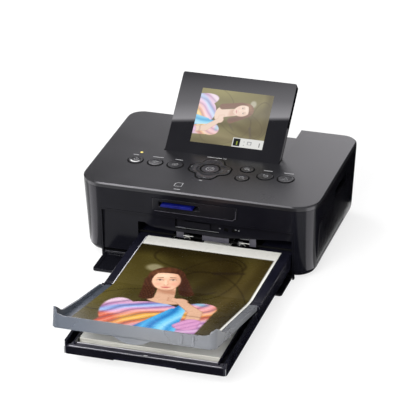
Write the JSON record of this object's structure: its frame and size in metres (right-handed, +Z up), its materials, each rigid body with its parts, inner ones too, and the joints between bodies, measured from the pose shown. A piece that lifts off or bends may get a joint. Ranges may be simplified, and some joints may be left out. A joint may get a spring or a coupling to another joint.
{
  "type": "compact photo printer",
  "caption": "Compact dye-sublimation photo printer: tilting display, round keys, drawn-out paper cassette with a raised output cover, finished print, fold-down front door and ribbon door.",
  "frame": {"origin": "point on the table below the centre of the printer body's plan outline", "axes": "+X to the right seen from the front, +Y to the back, +Z up; the cassette draws out along -Y"},
  "size_m": [0.178, 0.3101, 0.1027],
  "materials": {
    "shell": "satin black plastic, fine grain",
    "piano_black": "glossy black plastic",
    "cassette_black": "semi-gloss black plastic",
    "display_window": "clear gloss acrylic over black print",
    "display_panel": "display panel",
    "status_lens": "amber lens",
    "feet_rubber": "matt rubber",
    "roller_rubber": "ground rubber",
    "zinc_steel": "zinc plated sheet steel",
    "circuit_board": "solder resist",
    "components": "moulded packages",
    "white_nylon": "natural acetal",
    "brass_gear": "machined brass",
    "guide_grey": "grey acetal",
    "ceramic": "glazed ceramic",
    "aluminium": "extruded, matt",
    "dye_film": "thin dyed film",
    "key_caps": "satin dark grey caps",
    "power_cap": "satin light grey cap",
    "card_blue": "blue plastic shell",
    "paper": "white photo paper",
    "print": "glossy photo print",
    "smoke_plastic": "smoke grey translucent plastic"
  },
  "bodies": {
    "printer": {"casing": "shell", "top_cover": "piano_black", "bottom_pan": "shell", "front_fascia": "shell", "card_slot_bezel": "piano_black", "status_led": "status_lens", "rubber_feet": "feet_rubber", "casing_screws": "zinc_steel", "key_board": "circuit_board", "tact_switches": "zinc_steel", "card_reader": "zinc_steel", "main_board": "circuit_board", "board_components": "components", "dc_jack": "components", "usb_ports": "zinc_steel", "fan_housing": "shell", "chassis_frame": "zinc_steel", "drive_motor": "zinc_steel", "paper_guides": "guide_grey", "ribbon_case": "shell", "ribbon_film": "dye_film"},
    "display": {"lcd_window": "display_window", "lcd_frame": "piano_black", "lcd_module": "display_panel", "lcd_back_cover": "shell"},
    "nav_carrier": {"nav_carrier": "white_nylon"},
    "nav_ring": {"nav_ring": "key_caps"},
    "memory_card": {"memory_card": "card_blue"},
    "cassette_door": {"cassette_door": "shell"},
    "ink_door": {"ink_door": "shell"},
    "paper_cassette": {"cassette_tray": "cassette_black", "cassette_lid": "cassette_black", "paper_lift_plate": "zinc_steel", "paper_stack": "paper", "printed_photo": "print"},
    "output_cover": {"output_cover": "smoke_plastic"},
    "thermal_head": {"head_element": "ceramic", "heat_sink": "aluminium", "head_arms": "zinc_steel"},
    "platen": {"platen_roller": "roller_rubber", "platen_gear": "white_nylon"},
    "feed_roller": {"feed_roller": "zinc_steel", "feed_gear": "white_nylon"},
    "idler": {"idler_gear": "white_nylon"},
    "motor_shaft": {"motor_pinion": "brass_gear"},
    "pinch_roller": {"pinch_roller": "roller_rubber"},
    "pickup_roller": {"pickup_roller": "roller_rubber"},
    "eject_rollers": {"eject_rollers": "roller_rubber"},
    "supply_spool": {"supply_spool": "dye_film"},
    "takeup_spool": {"takeup_spool": "dye_film"},
    "fan_rotor": {"fan_rotor": "components"},
    "power_button": {"power_button": "power_cap"},
    "wireless_button": {"wireless_button": "key_caps"},
    "edit_button": {"edit_button": "key_caps"},
    "zoom_in_button": {"zoom_in_button": "key_caps"},
    "zoom_out_button": {"zoom_out_button": "key_caps"},
    "back_button": {"back_button": "key_caps"},
    "print_button": {"print_button": "key_caps"},
    "ok_button": {"ok_button": "key_caps"}
  },
  "joints": [
    {"name": "display_tilt", "type": "hinge", "parent": "printer", "child": "display", "pos_m": [0, 0.0037, 0.0585], "axis": [1, 0, 0], "range_deg": [-41, 4]},
    {"name": "power_press", "type": "slide", "parent": "printer", "child": "power_button", "axis": [0, 0, -1], "range_m": [0, 0.0006], "stiffness_N_per_m": 120},
    {"name": "wireless_press", "type": "slide", "parent": "printer", "child": "wireless_button", "axis": [0, 0, -1], "range_m": [0, 0.0006], "stiffness_N_per_m": 120},
    {"name": "edit_press", "type": "slide", "parent": "printer", "child": "edit_button", "axis": [0, 0, -1], "range_m": [0, 0.0006], "stiffness_N_per_m": 120},
    {"name": "zoom_in_press", "type": "slide", "parent": "printer", "child": "zoom_in_button", "axis": [0, 0, -1], "range_m": [0, 0.0006], "stiffness_N_per_m": 120},
    {"name": "zoom_out_press", "type": "slide", "parent": "printer", "child": "zoom_out_button", "axis": [0, 0, -1], "range_m": [0, 0.0006], "stiffness_N_per_m": 120},
    {"name": "back_press", "type": "slide", "parent": "printer", "child": "back_button", "axis": [0, 0, -1], "range_m": [0, 0.0006], "stiffness_N_per_m": 120},
    {"name": "print_press", "type": "slide", "parent": "printer", "child": "print_button", "axis": [0, 0, -1], "range_m": [0, 0.0006], "stiffness_N_per_m": 120},
    {"name": "ok_press", "type": "slide", "parent": "printer", "child": "ok_button", "axis": [0, 0, -1], "range_m": [0, 0.0006], "stiffness_N_per_m": 120},
    {"name": "nav_tip_front_back", "type": "hinge", "parent": "printer", "child": "nav_carrier", "pos_m": [-0.0017, -0.0205, 0.058], "axis": [1, 0, 0], "range_deg": [-2, 2], "stiffness_Nm_per_rad": 0.02},
    {"name": "nav_tip_left_right", "type": "hinge", "parent": "nav_carrier", "child": "nav_ring", "pos_m": [-0.0017, -0.0205, 0.058], "axis": [0, 1, 0], "range_deg": [-2, 2], "stiffness_Nm_per_rad": 0.02},
    {"name": "card_slide", "type": "slide", "parent": "printer", "child": "memory_card", "axis": [0, -1, 0], "range_m": [0, 0.024]},
    {"name": "cassette_door_hinge", "type": "hinge", "parent": "printer", "child": "cassette_door", "pos_m": [0, -0.058, 0.0026], "axis": [-1, 0, 0], "range_deg": [0, 10]},
    {"name": "ink_door_hinge", "type": "hinge", "parent": "printer", "child": "ink_door", "pos_m": [0.08453, 0, 0.0108], "axis": [0, 1, 0], "range_deg": [0, 88]},
    {"name": "cassette_slide", "type": "slide", "parent": "printer", "child": "paper_cassette", "axis": [0, -1, 0], "range_m": [0, 0.165]},
    {"name": "output_cover_hinge", "type": "hinge", "parent": "paper_cassette", "child": "output_cover", "pos_m": [0.0132, -0.141, 0.0199], "axis": [-1, 0, 0], "range_deg": [-12.5, 75], "deforming": ["printed_photo"]},
    {"name": "head_lift", "type": "hinge", "parent": "printer", "child": "thermal_head", "pos_m": [0.0132, 0.006, 0.046], "axis": [-1, 0, 0], "range_deg": [0, 6]},
    {"name": "platen_turn", "type": "hinge", "parent": "printer", "child": "platen", "pos_m": [0.0132, -0.005, 0.0175], "axis": [1, 0, 0], "continuous": true},
    {"name": "idler_turn", "type": "hinge", "parent": "printer", "child": "idler", "pos_m": [-0.05, 0.0153, 0.02131], "axis": [1, 0, 0], "continuous": true},
    {"name": "feed_turn", "type": "hinge", "parent": "printer", "child": "feed_roller", "pos_m": [0.0132, 0.031, 0.0201], "axis": [1, 0, 0], "continuous": true},
    {"name": "motor_turn", "type": "hinge", "parent": "printer", "child": "motor_shaft", "pos_m": [-0.052, 0.02203, 0.03398], "axis": [1, 0, 0], "continuous": true},
    {"name": "pinch_turn", "type": "hinge", "parent": "printer", "child": "pinch_roller", "pos_m": [0.0132, 0.031, 0.0251], "axis": [1, 0, 0], "continuous": true},
    {"name": "pickup_turn", "type": "hinge", "parent": "printer", "child": "pickup_roller", "pos_m": [0.0132, -0.0455, 0.02535], "axis": [1, 0, 0], "continuous": true},
    {"name": "eject_turn", "type": "hinge", "parent": "printer", "child": "eject_rollers", "pos_m": [0.0132, -0.0549, 0.0216], "axis": [1, 0, 0], "continuous": true},
    {"name": "supply_turn", "type": "hinge", "parent": "printer", "child": "supply_spool", "pos_m": [0.0132, -0.028, 0.0323], "axis": [1, 0, 0], "continuous": true},
    {"name": "takeup_turn", "type": "hinge", "parent": "printer", "child": "takeup_spool", "pos_m": [0.0132, 0.018, 0.0323], "axis": [1, 0, 0], "continuous": true},
    {"name": "fan_turn", "type": "hinge", "parent": "printer", "child": "fan_rotor", "pos_m": [-0.063, 0.054, 0.036], "axis": [0, 1, 0], "continuous": true}
  ],
  "couplings": [
    {"joint": "idler_turn", "follows": "platen_turn", "ratio": -0.90323},
    {"joint": "feed_turn", "follows": "platen_turn", "ratio": 2},
    {"joint": "motor_turn", "follows": "platen_turn", "ratio": 2.8},
    {"joint": "takeup_turn", "follows": "supply_turn", "ratio": 1.4783}
  ]
}
